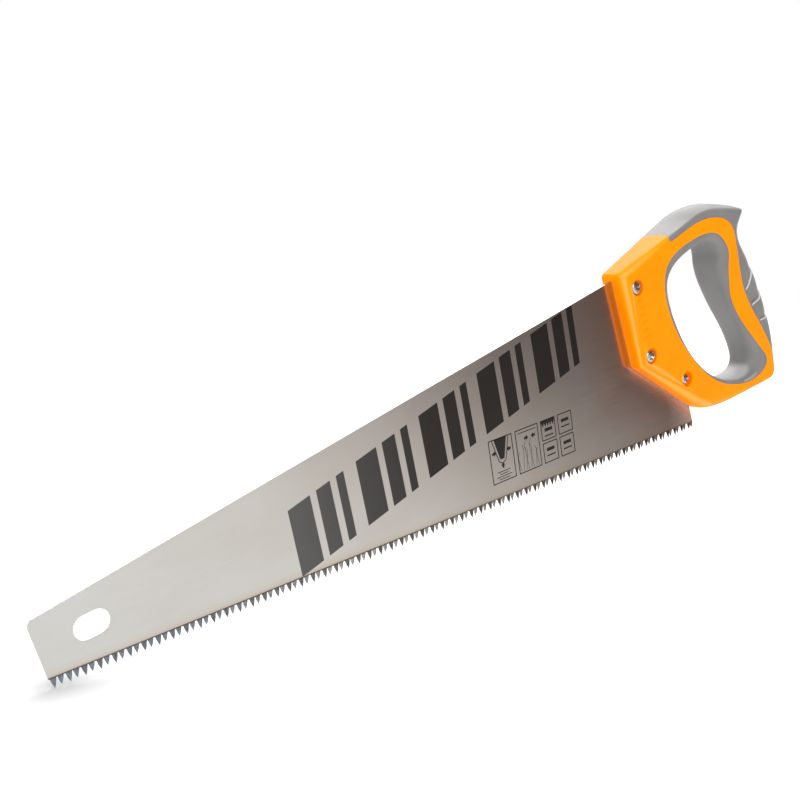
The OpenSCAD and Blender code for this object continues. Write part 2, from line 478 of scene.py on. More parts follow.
def painted_handle_reflection(tree):
    """Painted reflection of the orange handle in the blade beside it, and a painted lilac band
    along the handle's front: colours that multiply the steel's, and how metallic the steel is
    there, lower close to the handle's lower edge."""
    reach, blend = 50, 2
    corners = [c[:2] for c in HANDLE[:3]]
    front = beyond_edge(tree, corners[0], corners[1], reach)
    lower = beyond_edge(tree, corners[1], corners[2], reach)
    # Painted reflection of the handle: orange-brown beside its edges and a lilac band right at its
    # front
    by_front = ramp(tree, front, (0.09, (0.82, 0.78, 1.0)), (0.14, (1.35, 0.85, 0.62)),
                    (0.2, (1.12, 0.8, 0.66)), (0.27, (1.0, 0.83, 0.73)), (0.9, (1, 1, 1)))
    by_lower = ramp(tree, lower, (0.03, (1.05, 0.7, 0.42)), (0.06, (1.3, 0.7, 0.46)),
                    (0.09, (1.25, 0.68, 0.5)), (0.12, (1.2, 0.72, 0.58)),
                    (0.16, (1.05, 0.75, 0.66)), (0.24, (0.93, 0.76, 0.7)), (0.9, (1, 1, 1)))
    nearer = node(tree, "ShaderNodeMath", operation="SUBTRACT")
    tree.links.new(lower, nearer.inputs[0])
    tree.links.new(front, nearer.inputs[1])
    at_lower = rescale(tree, nearer.outputs[0], -blend / reach, blend / reach)
    metallic_near_handle = ramp(tree, lower, (0.04, 0.78), (0.09, 0.93), (0.16, 1.0))
    return mix(tree, at_lower, by_front, by_lower), mix(tree, at_lower, (1, 1, 1), metallic_near_handle)


def heat_colours(tree, height, position):
    """Hardening has left a thin dark line above the teeth: colours that multiply the
    steel's, and how much of them shows."""
    heat = ramp(tree, rescale(tree, height, TOOTH_LINE, TOOTH_LINE + 5 * MM),
                (0, (0.15, 0.12, 0.105)), (0.11, (0.2, 0.16, 0.135)), (0.17, (0.86, 0.78, 0.69)),
                (0.4, (0.97, 0.93, 0.88)), (1, (1, 1, 1)))
    return heat, ramp(tree, position, (0.4, 0.95), (1, 0.55))


def tooth_colours(tree, position):
    """Blue-grey teeth at the toe and brown ones towards the heel. Those that are set to the
    far side are painted paler, a painted highlight, except at the toe, and all of them are
    mottled."""
    teeth = ramp(tree, position, (0, (0.24, 0.28, 0.34)), (0.12, (0.25, 0.29, 0.36)),
                 (0.3, (0.27, 0.27, 0.275)), (0.4, (0.25, 0.245, 0.25)),
                 (0.65, (0.19, 0.175, 0.165)), (1, (0.11, 0.08, 0.07)))
    turns = node(tree, "ShaderNodeMath", operation="MULTIPLY_ADD")
    turns.inputs[1].default_value = math.pi / (PITCH * MM)
    turns.inputs[2].default_value = math.pi * (BLADE_LEN + GRIP.x) / PITCH
    tree.links.new(along(tree, "X"), turns.inputs[0])
    set_side = node(tree, "ShaderNodeMath", operation="COSINE")
    tree.links.new(turns.outputs[0], set_side.inputs[0])
    far_set = rescale(tree, set_side.outputs[0], 0.2, -0.2)
    # Painted highlight: the far-set teeth are painted paler, except at the toe
    far_set_highlight = mix(tree, ramp(tree, position, (0.15, 0.0), (0.4, 1.0)), (1, 1, 1), (1.7, 1.7, 1.65))
    highlighted_teeth = mix(tree, far_set, teeth, multiply(tree, teeth, far_set_highlight))
    spots = rescale(tree, noise(tree, place(tree), 900, 3), 0.35, 0.7)
    return mix(tree, spots, highlighted_teeth, (0.55, 0.52, 0.5), "MULTIPLY")


def steel():
    """Finely brushed blade steel with faint smudges, coloured by heat at the teeth, and
    painted with a reflection of the handle beside it."""
    mat, tree, shader = material("blade_steel")
    streaks = brushing(tree)
    clouds = noise(tree, place(tree, (1, 1, 1.6)), 22, 6)
    tone = ramp(tree, streaks, (0.25, (0.615, 0.608, 0.595)), (0.75, (0.645, 0.638, 0.625)))
    smudged = mix(tree, rescale(tree, clouds, 0.3, 0.75), tone, (0.93, 0.92, 0.905), "MULTIPLY")
    height = along(tree, "Z")
    position = x_part(tree, -BLADE_LEN - 5, 0)
    heat, shows = heat_colours(tree, height, position)
    plate = mix(tree, shows, smudged, multiply(tree, smudged, heat))
    below = rescale(tree, height, TOOTH_LINE + 0.1 * MM, TOOTH_LINE - 0.5 * MM)
    # Painted reflection of the handle, beside it, multiplies the steel's colour
    handle_reflection, metallic_near_handle = painted_handle_reflection(tree)
    colour = multiply(tree, mix(tree, below, plate, tooth_colours(tree, position)), handle_reflection)
    tree.links.new(colour, shader.inputs["Base Color"])
    # Painted reflection: the steel is made less metallic towards the heel, so that it shows paler
    # there
    painted_heel_reflection = ramp(tree, x_part(tree, -28, -5), (0, 1.0), (0.5, 0.87), (1, 0.68))
    tree.links.new(multiply(tree, metallic_near_handle, painted_heel_reflection), shader.inputs["Metallic"])
    rough = ramp(tree, streaks, (0.2, 0.13), (0.8, 0.19))
    tree.links.new(mix(tree, below, rough, (0.42, 0.42, 0.42)), shader.inputs["Roughness"])
    bump(tree, shader, streaks, 0.03, 0.00004)
    return mat


def ink():
    """Charcoal print that lets a little of the steel's brushing through. It is shinier at the
    toe's end of the band, and painted greyer there as a painted reflection."""
    mat, tree, shader = material("charcoal_print")
    streaks = brushing(tree)
    toe_to_dark = x_part(tree, BAND_START.x, BAND_DARK_X)
    # Painted reflection: the charcoal is painted greyer towards the toe's end of the band
    charcoal = ramp(tree, toe_to_dark, (0, (0.04, 0.039, 0.04)), (0.2, (0.023, 0.021, 0.02)),
                    (0.42, (0.009, 0.007, 0.006)), (1, (0.006, 0.005, 0.004)))
    brushed = ramp(tree, streaks, (0.3, 0.85), (0.7, 1.0))
    tree.links.new(multiply(tree, charcoal, brushed), shader.inputs["Base Color"])
    rough = ramp(tree, streaks, (0.3, 0.28), (0.7, 0.36))
    tree.links.new(rough, shader.inputs["Roughness"])
    shine = ramp(tree, toe_to_dark, (0, 1.0), (0.2, 0.75), (0.42, 0.45), (1, 0.4))
    tree.links.new(shine, shader.inputs["Specular IOR Level"])
    return mat


def plating():
    """Bright plated steel of the screws and nuts, a little uneven."""
    mat, tree, shader = material("bright_plating")
    cloudy = noise(tree, place(tree), 700, 4)
    colour = ramp(tree, cloudy, (0.3, (0.5, 0.46, 0.42)), (0.7, (0.74, 0.71, 0.68)))
    tree.links.new(colour, shader.inputs["Base Color"])
    rough = ramp(tree, cloudy, (0.3, 0.12), (0.7, 0.22))
    tree.links.new(rough, shader.inputs["Roughness"])
    shader.inputs["Metallic"].default_value = 1
    return mat


def floor_paint():
    """White paint that glows more with distance from the toe, so that the floor's far edge
    is not seen. Right at the toe it is a little greyer, so that the contact shadow shows."""
    mat, tree, shader = material("pale_floor")
    away = node(tree, "ShaderNodeVectorMath", operation="LENGTH")
    tree.links.new(place(tree), away.inputs[0])
    away = away.outputs["Value"]
    near = ramp(tree, rescale(tree, away, 0, 0.2), (0.03, 0.62), (0.19, 1.0))
    cloudy = noise(tree, place(tree), 3, 2)
    paint = ramp(tree, cloudy, (0.3, (0.95, 0.95, 0.95)), (0.7, (0.97, 0.97, 0.97)))
    tree.links.new(multiply(tree, paint, near), shader.inputs["Base Color"])
    shader.inputs["Roughness"].default_value = 0.9
    shader.inputs["Specular IOR Level"].default_value = 0.1
    glow = ramp(tree, rescale(tree, away, 0, 2), (0.04, 0.0), (0.15, 0.1), (0.8, 0.7))
    tree.links.new(glow, shader.inputs["Emission Strength"])
    shader.inputs["Emission Color"].default_value = (1, 1, 1, 1)
    return mat


PLASTIC, RUBBER, STEEL, INK, PLATING = plastic(), rubber(), steel(), ink(), plating()


def finish_piece(obj, mat, slot, *replaced):
    """Gives a piece its look and its place in the part."""
    obj.data.materials.clear()
    obj.data.materials.append(mat)
    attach(obj, "root")
    if replaced:
        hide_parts(*replaced)
    return obj


# ---------------------------------------------------------------- blade

def arc(centre, radius, start, end, steps):
    """Points (x, z) on an arc, with its angles in degrees."""
    turns = [math.radians(start + (end - start) * k / steps) for k in range(steps + 1)]
    return [(centre[0] + radius * math.cos(a), centre[1] + radius * math.sin(a)) for a in turns]


def chamfered_plate(name, outline, holes):
    """A flat plate of the blade's thickness with holes, whose edges are all chamfered."""
    face, edge = BLADE_T / 2, BLADE_T / 2 - BLADE_CHAMFER
    levels = [(-face, BLADE_CHAMFER), (-edge, 0), (edge, 0), (face, BLADE_CHAMFER)]
    verts, faces, caps, start = [], [], [], 0
    for loop in (outline, *holes):
        n = len(loop)
        for y, inset in levels:
            for i, p in enumerate(loop):
                at = Vector(p) - mitre(loop, i) * inset
                verts.append((at.x, y, at.y))
        for r in range(3):
            for i in range(n):
                j = (i + 1) % n
                a, b = start + r * n, start + (r + 1) * n
                faces.append((a + i, a + j, b + j, b + i))
        caps.append([(start + i, start + 3 * n + i) for i in range(n)])
        start += 4 * n
    for side in (0, 1):
        index = [pair[side] for cap in caps for pair in cap]
        flat_loops = [[Vector((verts[pair[side]][0], verts[pair[side]][2], 0)) for pair in cap]
                      for cap in caps]
        faces += [tuple(index[i] for i in tri) for tri in tessellate_polygon(flat_loops)]
    return new_object(name, verts, faces)


def blade():
    toe = -BLADE_LEN - 3
    toe_corner = [(0.2, 0), (-0.8, -0.15), (-1.7, -0.6), (-2.4, -1.35), (-2.9, -2.3), (-3.1, -3.6)]
    outline = [(toe + 1, 0), (-3, 0), *TANG[1:]]
    outline += [(toe + dx, TOE_HEIGHT + dz) for dx, dz in toe_corner]
    half = (SLOT_LEN - SLOT_W) / 2
    slot = arc((half, 0), SLOT_W / 2, 90, -90, 20) + arc((-half, 0), SLOT_W / 2, 270, 90, 20)
    turn = Matrix.Rotation(SLOT_TURN, 2)
    holes = [[tuple(SLOT_MIDDLE + turn @ Vector(p)) for p in slot]]
    holes += [arc(at, SLEEVE_D / 2, 0, -350, 35) for at in SCREWS.values()]
    obj = chamfered_plate("blade_plate", outline, holes)
    verts, faces = [], []
    for number in range(int(BLADE_LEN / PITCH)):
        tooth(number, verts, faces)
    join(obj, new_object("teeth", verts, faces))
    soften(obj, 20)
    return finish_piece(obj, STEEL, "blade_steel", "blade")


# A tooth's half widths, as parts of the pitch: on the side it leans to and on the other
TOOTH_OUTER = 0.43
TOOTH_INNER = 0.22


def tooth(number, verts, faces):
    """One needle tooth, bent out of the plate by its set and ground on three facets: both
    flanks slope in towards the side that it leans away from, and so does its point."""
    side = -1 if number % 2 == 0 else 1
    face = side * (BLADE_T / 2 - 0.02)
    foot = Vector((number * PITCH - BLADE_LEN, 0, 0))
    lean = Matrix.Rotation(side * TOOTH_SET, 3, "X")
    outer, inner = PITCH * TOOTH_OUTER, PITCH * TOOTH_INNER
    section = [(0.15, outer, inner), (-TOOTH_DEPTH / 2, outer * 0.6, inner * 0.4)]
    points = []
    for z, wide, narrow in section:
        points += [(-wide, face, z), (wide, face, z), (wide * 0.96, 0, z), (narrow, -face, z),
                   (-narrow, -face, z), (-wide * 0.96, 0, z)]
    points += [(0, face, -TOOTH_DEPTH), (0, face * 0.3, 0.08 - TOOTH_DEPTH)]
    start, n = len(verts), 6
    verts += [foot + lean @ Vector(p) for p in points]
    lower, tip, back = start + n, start + 2 * n, start + 2 * n + 1
    faces.append(tuple(range(start, lower)))
    for k in range(n):
        j = (k + 1) % n
        faces.append((start + k, start + j, lower + j, lower + k))
    faces.append((lower, lower + 1, tip))
    faces.append((lower + 1, lower + 2, back, tip))
    faces += [(lower + k, lower + k + 1, back) for k in (2, 3, 4)]
    faces.append((lower + 5, lower, tip, back))


def join(obj, *others):
    """Adds the other objects' meshes to obj and removes them."""
    bm = bmesh.new()
    bm.from_mesh(obj.data)
    for other in others:
        bm.from_mesh(other.data)
    bm.to_mesh(obj.data)
    bm.free()
    remove(*others)


# ---------------------------------------------------------------- print on the blade

INK_T = 0.03
INK_SUNK = 0.01
PRINT_SLOPE = math.tan(math.radians(16.4))
BAND_HEIGHT = 36
BAR_LEAN = -BAND_HEIGHT * 0.07
GROUPS = 5
GROUP_PITCH = 44.4
GROUP_BARS = [(0, 14), (18, 9), (31, 5)]


def inked(name, outlines):
    """Thin flat print on the near face of the blade, one patch for each outline."""
    face = -BLADE_T / 2
    patches = [prism(name, outline, face - INK_T, face + INK_SUNK) for outline in outlines]
    join(patches[0], *patches[1:])
    return finish_piece(patches[0], INK, "blade_steel")


def slanted_bars():
    """Groups of upright bars that thin out, cut off along the slope of the band."""
    outlines = []
    up = Vector((BAR_LEAN, BAND_HEIGHT))
    for group in range(GROUPS):
        for offset, width in GROUP_BARS:
            run = group * GROUP_PITCH + offset
            a, b = (BAND_START + Vector((x, x * PRINT_SLOPE)) for x in (run, run + width))
            outlines.append([a, b, b + up, a + up])
    return inked("slanted_bars", outlines)


def bar(x0, z0, x1, z1):
    return [(x0, z0), (x1, z0), (x1, z1), (x0, z1)]


def frame_lines(x0, z0, x1, z1, line=0.6):
    """The four sides of an upright box, as thin bars."""
    return [bar(x0, z0, x1, z0 + line), bar(x0, z1 - line, x1, z1),
            bar(x0, z0 + line, x0 + line, z1 - line), bar(x1 - line, z0 + line, x1, z1 - line)]


def stroke(a, b, width):
    """A straight line from a to b as a thin bar."""
    a, b = Vector(a), Vector(b)
    n = (b - a).normalized()
    side = Vector((-n.y, n.x)) * width / 2
    return [tuple(a - side), tuple(b - side), tuple(b + side), tuple(a + side)]


def arrow(back, way):
    """A short thick arrow from back along way."""
    size = 3.4
    back, way = Vector(back), Vector(way)
    side = Vector((-way.y, way.x))
    return [tuple(back + way * a * size + side * b * size)
            for a, b in ((0, -0.22), (0.45, -0.22), (0.45, -0.5), (1, 0), (0.45, 0.5),
                         (0.45, 0.22), (0, 0.22))]


# The framed pictures: their columns from left to right, measured from the toe, the frames'
# top and bottom, and the gap between the upper and lower small ones
COLUMNS = [(265.0, 283.6), (286.2, 304.9), (307.2, 319.4), (321.5, 333.7)]
SIGN_TOP, SIGN_BOTTOM = 36.27, 9.78
SPLIT_LOW, SPLIT_HIGH = 22.34, 23.62
SIGN_TURN = 0.026
SIGN_MIDDLE = Vector((300 - BLADE_LEN, 30))


def tooth_picture(x0, x1):
    """A tooth's point in an outline, pressed by three arrows, over four lines."""
    middle = (x0 + x1) / 2
    top, knee_z, line = SIGN_TOP - 0.4, SIGN_TOP - 14, 0.55
    shapes = [[(middle - 1.6, SIGN_TOP - 13), (middle + 1.6, SIGN_TOP - 13), (middle + 5, top),
               (middle - 5, top)]]
    for side in (-1, 1):
        knee = (middle + side * 2.7, knee_z)
        shapes.append(stroke((middle + side * 6.6, top), knee, line))
        shapes.append(stroke(knee, (middle, SIGN_TOP - 15.6), line))
        shapes.append(arrow((middle + side * 7.4, SIGN_TOP - 8.4), (-side, 0)))
    shapes.append(arrow((middle, SIGN_TOP - 18.4), (0, 1)))
    for k, half in enumerate((5, 3.4, 6, 4.4)):
        z = SIGN_BOTTOM + 6 - k * 1.45
        shapes.append(bar(middle - half, z, middle + half, z + 0.45))
    return shapes


def grain_picture(x0, x1):
    """Bent fibres of wood under a line and two arrows. A fibre is its lean and height."""
    middle, low, line = (x0 + x1) / 2, SIGN_BOTTOM + 1.2, 0.26
    shapes = [bar(x0 + 2, SIGN_TOP - 2.6, x1 - 2, SIGN_TOP - 2.1),
              arrow((middle - 2.6, SIGN_TOP - 6.2), (1, 0)),
              arrow((middle + 6.4, SIGN_TOP - 6.2), (-1, 0))]
    fibres = [(-1.6, 9), (1.4, 13), (2.2, 11), (-1.9, 15), (1.7, 12), (-2.1, 15), (1.2, 10),
              (-0.9, 8)]
    for k, (lean, high) in enumerate(fibres):
        x = x0 + 2 + k * 2.05
        bend = (x + lean, low + high)
        shapes.append(stroke((x, low), bend, line))
        shapes.append(stroke(bend, (x + lean * 0.2, low + high + 2.8), line))
    return shapes


def small_pictures(left, right):
    """A bar and a line in each of four small boxes, and teeth in the upper left one."""
    shapes = []
    upper, lower = (SPLIT_HIGH, SIGN_TOP), (SIGN_BOTTOM, SPLIT_LOW)
    boxes = [(left, lower), (right, lower), (right, upper), (left, (SPLIT_HIGH, SIGN_TOP - 3.4))]
    for (x0, x1), (z0, z1) in boxes:
        x, z = (x0 + x1) / 2, (z0 + z1) / 2
        shapes.append(bar(x - 3.2, z + 0.7, x + 3.2, z + 2.7))
        shapes.append(bar(x - 3.6, z - 2.4, x + 3.6, z - 1.6))
    x0, x1 = left
    shapes.append(bar(x0 + 0.4, SIGN_TOP - 2, x1 - 0.4, SIGN_TOP - 0.4))
    for k in range(5):
        x = x0 + 1.9 + k * (x1 - x0 - 3.8) / 4
        shapes.append([(x, SIGN_TOP - 4.6), (x + 1.1, SIGN_TOP - 2), (x - 1.1, SIGN_TOP - 2)])
    return shapes


def sign_boxes():
    """Framed pictures: a ground tooth, the grain of wood, and four small ones with bars."""
    first, second, *small = [(x0 - BLADE_LEN, x1 - BLADE_LEN) for x0, x1 in COLUMNS]
    shapes = []
    for x0, x1 in (first, second):
        shapes += frame_lines(x0, SIGN_BOTTOM, x1, SIGN_TOP)
    for x0, x1 in small:
        shapes += frame_lines(x0, SIGN_BOTTOM, x1, SPLIT_LOW)
        shapes += frame_lines(x0, SPLIT_HIGH, x1, SIGN_TOP)
    shapes += tooth_picture(*first) + grain_picture(*second) + small_pictures(*small)
    turn = Matrix.Rotation(SIGN_TURN, 2)
    return inked("sign_boxes", [[SIGN_MIDDLE + turn @ (Vector(p) - SIGN_MIDDLE) for p in shape]
                                for shape in shapes])


# ---------------------------------------------------------------- screws and nuts

CORNERS = [(-1, -1), (1, -1), (1, 1), (-1, 1)]


def cross_recess(at, y, width, arm, depth, turn):
    """A cross that cuts a driver recess from y towards +Y and tapers to its floor. arm is
    half of its span, and turn is in degrees."""
    arms = []
    for quarter in (0, 90):
        a = math.radians(turn + quarter)
        long_way = Vector((math.cos(a), math.sin(a))) * arm
        short_way = Vector((-math.sin(a), math.cos(a))) * width / 2
        rings = []
        for part, y_here in ((1.06, y - 0.4), (1, y), (0.45, y + depth)):
            corners = [Vector(at) + long_way * part * i + short_way * max(part, 0.7) * j
                       for i, j in CORNERS]
            rings.append([Vector((*corner, y_here)) for corner in corners])
        arms.append(solid("recess", rings))
    boolean(*arms, operation="UNION")
    return arms[0]


def dome(r, y, high, angles):
    """The profile of a low dome: points at these angles from its middle, in degrees."""
    return [(r * math.sin(math.radians(d)), y + high * math.cos(math.radians(d)))
            for d in angles]


def screw(key, turn):
    """Pan head screw from the near side: domed head with a cross recess, threaded shank."""
    at, r, shank = SCREWS[key], HEADS[key] / 2, SHANK_D / 2
    seat = half_t(*at) - FLOORS[key]
    thread, thread_depth = 0.7, 0.35
    profile = [(0, -seat - 2.0), *dome(r * 0.96, -seat - 1.1, -0.9, range(15, 76, 12)),
               (r, -seat - 0.85), (r, -seat - 0.15), (r - 0.15, -seat), (shank, -seat)]
    y, end = -seat + 1.5, seat - 2.5
    while y < end:
        profile += [(shank, y), (shank - thread_depth, y + thread_depth)]
        y += thread
    profile += [(shank - 0.4, y), (0, y)]
    body = lathe("screw_%s_body" % key, profile, at, 64)
    boolean(body, cross_recess(at, -seat - 2.1, 1.2, r * 0.66, 1.9, turn))
    soften(body, 35)
    return finish_piece(body, PLATING, "plated_steel", "screw_" + key)


def nut(key, turn):
    """Sleeve nut from the far side: low domed head with a cross recess, hollow sleeve."""
    at, r = SCREWS[key], NUT_HEAD_D / 2
    seat = half_t(*at) - FLOORS[key]
    bore, sleeve = SHANK_D / 2, SLEEVE_D / 2
    profile = [(0, seat - 1), (bore, seat - 1), (bore, 0.6 - seat), (sleeve - 0.3, 0.5 - seat),
               (sleeve, 0.8 - seat), (sleeve, seat), (r - 0.15, seat), (r, seat + 0.15),
               (r, seat + 0.8), *dome(r * 0.97, seat + 0.95, 0.6, range(75, 5, -12)),
               (0, seat + 1.55)]
    body = lathe("nut_%s_body" % key, profile, at, 64)
    cutter = cross_recess(at, -seat - 1.65, 0.95, r * 0.5, 1.0, turn)
    for vertex in cutter.data.vertices:
        vertex.co.y = -vertex.co.y
    cutter.data.flip_normals()
    boolean(body, cutter)
    soften(body, 35)
    return finish_piece(body, PLATING, "plated_steel", "nut_" + key)


# ---------------------------------------------------------------- handle

# The parting gap that shows between the core and its two soft layers
SEAM = 0.12


def opening():
    return filleted("opening", OPENING, way=-1, beyond=4)


def shoulder(r):
    """The core's upright round shoulder, as a cylinder."""
    steps = 96
    turns = [2 * math.pi * k / steps for k in range(steps)]
    verts = [(SHOULDER_X + r * math.cos(a), r * math.sin(a), z) for z in (100, 170)
             for a in turns]
    faces = [(k, (k + 1) % steps, steps + (k + 1) % steps, steps + k) for k in range(steps)]
    faces += [tuple(reversed(range(steps))), tuple(range(steps, 2 * steps))]
    return new_object("shoulder", verts, faces)


def palm_space(grow):
    """The palm grip's space. Its front end is hollowed by the core's round shoulder."""
    space = region("palm_space", PALM_REGION, grow)
    boolean(space, shoulder(SHOULDER_R - grow))
    return space


def raised_bars(obj):
    """A row of short moulded bars on the near cheek, between the upper two screws."""
    count, high, sunk = 7, 0.3, 0.4
    start, end = Vector(SCREWS["upper"]), Vector(SCREWS["middle"])
    down = (end - start).normalized()
    out = Vector((-down.y, down.x))
    for k in range(count):
        middle = start + (end - start) * (0.18 + 0.64 * k / (count - 1))
        half = 1.7 + 0.6 * (k % 3)
        outline = [middle + out * half * i + down * 0.45 * j for i, j in CORNERS]
        raised = solid("bar", [[Vector((*p, y - half_t(*p))) for p in outline]
                               for y in (-high, sunk)])
        boolean(obj, raised, operation="UNION")


def mark_painted_light(obj, lightening):
    """Stores how much paler each vertex is painted, as painted light, by the given function of
    place and normal, with place in mm.
    """
    bm = bmesh.new()
    bm.from_mesh(obj.data)
    bm.normal_update()
    painted_light = bm.verts.layers.float.new(LIGHT_PAINT_LAYER)
    for vertex in bm.verts:
        vertex[painted_light] = float(lightening(vertex.co / MM + GRIP, vertex.normal))
    bm.to_mesh(obj.data)
    bm.free()


def front_fillet_highlight(place, normal):
    """How much painted highlight the core gets: only the fillets of the two front edges, and
    most where they turn into the side faces."""
    most, reach = 0.6, 7
    outside = []
    for i in (0, 1):
        a, b = Vector(HANDLE[i][:2]), Vector(HANDLE[i + 1][:2])
        run = (b - a).normalized()
        outside.append(Vector((run.y, -run.x)).dot(place.xz - a))
    if max(outside) < -reach:
        return 0
    turned = abs(normal.y)
    return most * smooth_step(turned, 0.5, 0.8) * (1 - smooth_step(turned, 0.9, 0.985))


def counterbore(key):
    """A cutter for one screw: its sleeve's bore, and a chamfered counterbore on each side."""
    at = SCREWS[key]
    face, floor = half_t(*at), half_t(*at) - FLOORS[key]
    rim, lip_highlight, bore = COUNTERBORE_D / 2, COUNTERBORE_D / 2 + RIM_CHAMFER, SLEEVE_D / 2
    half = [(0, THROUGH), (lip_highlight, THROUGH), (lip_highlight, face + 0.15), (rim, face - RIM_CHAMFER),
            (rim, floor), (bore, floor)]
    return lathe("counterbore", [(r, -y) for r, y in half] + half[::-1], at)


def handle_core():
    core = filleted("handle_core_shell", HANDLE)
    raised_bars(core)
    around = [tuple(Vector(p) + mitre(TANG, i) * 0.4) for i, p in enumerate(TANG)]
    slot = [(-90, 40), (-8, -18), *around[1:9], (-90, 103)]
    gap = BLADE_T / 2 + 0.05
    boolean(core, palm_space(SEAM / 2), region("lining", LINING_EDGE, SEAM / 2), opening(),
            prism("blade_slot", slot, -gap, gap), *[counterbore(key) for key in SCREWS])
    # Painted highlight on the core's front fillets
    mark_painted_light(core, front_fillet_highlight)
    soften(core)
    return finish_piece(core, PLASTIC, "core_plastic", "handle_core")


# Curved grooves round the palm grip, each from the core's edge to past the back: (x, z)
GROOVES = [
    [(44.5, 79.3), (49.7, 83), (52.6, 87.6), (55.5, 92.5), (60, 100)],
    [(50, 68), (55.5, 70.2), (61.1, 72.3), (64, 75.5), (70, 84)],
    [(55, 57), (63.8, 57.6), (70, 58.2), (79, 61)],
]
# The grooves run up at about this angle, and mesh lines are laid along it and across it
GROOVE_TURN = math.radians(25)
GROOVE_ALONG = np.array((math.cos(GROOVE_TURN), math.sin(GROOVE_TURN)))
GROOVE_ACROSS = np.array((math.sin(GROOVE_TURN), -math.cos(GROOVE_TURN)))


def through(points):
    """Points of a smooth line through the given ones, run on straight past both ends."""
    steps, beyond = 16, 12
    p = [np.array(q, float) for q in points]
    p = [2 * p[0] - p[1], *p, 2 * p[-1] - p[-2]]
    line = []
    for a, b, c, d in zip(p, p[1:], p[2:], p[3:]):
        for k in range(steps):
            t = k / steps
            line.append(b + 0.5 * t * (c - a + t * (2 * a - 5 * b + 4 * c - d
                                                    + t * (3 * (b - c) + d - a))))
    line.append(p[-2])
    for end, inner in ((0, 1), (-1, -2)):
        way = (line[end] - line[inner]) / np.linalg.norm(line[end] - line[inner])
        line.insert(0 if end == 0 else len(line), line[end] + way * beyond)
    return np.array(line)


def distance(points, line):
    """How far each point lies from a line of points: more than 0 on its right side."""
    best = np.full(len(points), 1e9)
    for a, b in zip(line, line[1:]):
        part = np.clip((points - a) @ (b - a) / ((b - a) @ (b - a)), 0, 1)
        away = points - a - part[:, None] * (b - a)
        side = np.sign((b - a)[1] * away[:, 0] - (b - a)[0] * away[:, 1])
        length = np.linalg.norm(away, axis=1)
        nearer = length < np.abs(best)
        best[nearer] = (side * length)[nearer]
    return best


def smooth_step(value, low, high):
    """0 below low, 1 above high and smooth between them."""
    t = np.clip((value - low) / (high - low), 0, 1)
    return t * t * (3 - 2 * t)


def lay_mesh_lines(bm):
    """Cuts the faces round the grooves into a fine mesh, without moving any of them."""
    fine_step, coarse_step, along_step = 0.25, 1.0, 0.6
    lines = [through(points)[1:-1] for points in GROOVES]
    fine = []
    for line in lines:
        across = line @ GROOVE_ACROSS
        fine += list(np.arange(across.min() - 1, across.max() + 1, fine_step))
    coarse = [c for c in np.arange(min(fine) - 8, max(fine) + 3, coarse_step)
              if all(abs(c - d) > 0.4 for d in fine)]
    planes = [(GROOVE_ACROSS, c) for c in fine + coarse]
    reach = np.concatenate(lines) @ GROOVE_ALONG
    planes += [(GROOVE_ALONG, c)
               for c in np.arange(reach.min() - 2, reach.max() + 1, along_step)]
    low, high = (Vector((38, 0, 44)) - GRIP) * MM, (Vector((90, 0, 106)) - GRIP) * MM
    for way, c in planes:
        normal = Vector((way[0], 0, way[1]))
        at = normal * float(c)
        faces = [f for f in bm.faces if len(f.verts) > 12
                 or low.x < f.verts[0].co.x < high.x and low.z < f.verts[0].co.z < high.z]
        edges = {e for f in faces for e in f.edges}
        verts = {v for e in edges for v in e.verts}
        bmesh.ops.bisect_plane(bm, geom=[*verts, *edges, *faces], dist=1e-7,
                               plane_co=(at - GRIP) * MM, plane_no=normal)


# How far the surface sinks to each groove, from how far above it and back up below it, in
# mm, and the extra depth of the groove's own line
SINK, SINK_FROM, SINK_TO = 0.9, 9, 0.6
LINE_DEPTH, LINE_WIDTH = 0.6, 0.45
# Where the painted highlight on the lip below each groove peaks, and how wide it is, in mm
LIP_HIGHLIGHT_AT, LIP_HIGHLIGHT_WIDTH = 0.75, 0.35


def press_grooves(obj):
    """Sinks the surface towards each groove from above, and paints a pale highlight on the lip
    below it.
    """
    bm = bmesh.new()
    bm.from_mesh(obj.data)
    lay_mesh_lines(bm)
    bm.normal_update()
    points = np.array([(v.co / MM + GRIP).xz for v in bm.verts])
    front = rounded([(Vector((x, z)), reach) for x, z, reach in PALM_REGION[:8]])
    sink, lip_highlight = np.zeros(len(points)), np.zeros(len(points))
    for line in GROOVES:
        s = distance(points, through(line))
        above = np.clip(1 + s / SINK_FROM, 0, 1) ** 1.5
        below = np.clip(1 - s / SINK_TO, 0, 1)
        slope = SINK * np.where(s < 0, above, below)
        sink = np.maximum(sink, slope + LINE_DEPTH * np.exp(-(s / LINE_WIDTH) ** 2))
        # Painted highlight: a pale band along the lip just below the groove
        lip_highlight = np.maximum(lip_highlight, np.exp(-((s - LIP_HIGHLIGHT_AT) / LIP_HIGHLIGHT_WIDTH) ** 2))
    inside = np.abs(distance(points, np.array([tuple(p) for p in front])))
    sink *= smooth_step(inside, 0.8, 3) * smooth_step(points[:, 0], 42, 46)
    lip_highlight *= smooth_step(inside, 1, 2)
    painted_light = bm.verts.layers.float.new(LIGHT_PAINT_LAYER)
    for vertex, depth, lightening in zip(bm.verts, sink, lip_highlight):
        vertex[painted_light] = float(lightening)
        if depth > 0.001:
            vertex.co -= vertex.normal * float(depth) * MM
    bm.to_mesh(obj.data)
    bm.free()


def palm_grip():
    palm = filleted("palm_grip_skin", HANDLE)
    boolean(palm, palm_space(-SEAM / 2), operation="INTERSECT")
    press_grooves(palm)
    soften(palm)
    return finish_piece(palm, RUBBER, "grip_rubber", "palm_grip")


def upward_painted_light(place, normal):
    """How much painted light the lining gets: only the opening's upward faces, painted paler
    as if lit from above.
    """
    most, top = 0.5, 45
    return most * smooth_step(normal.z, 0.45, 0.9) * (place.z < top)


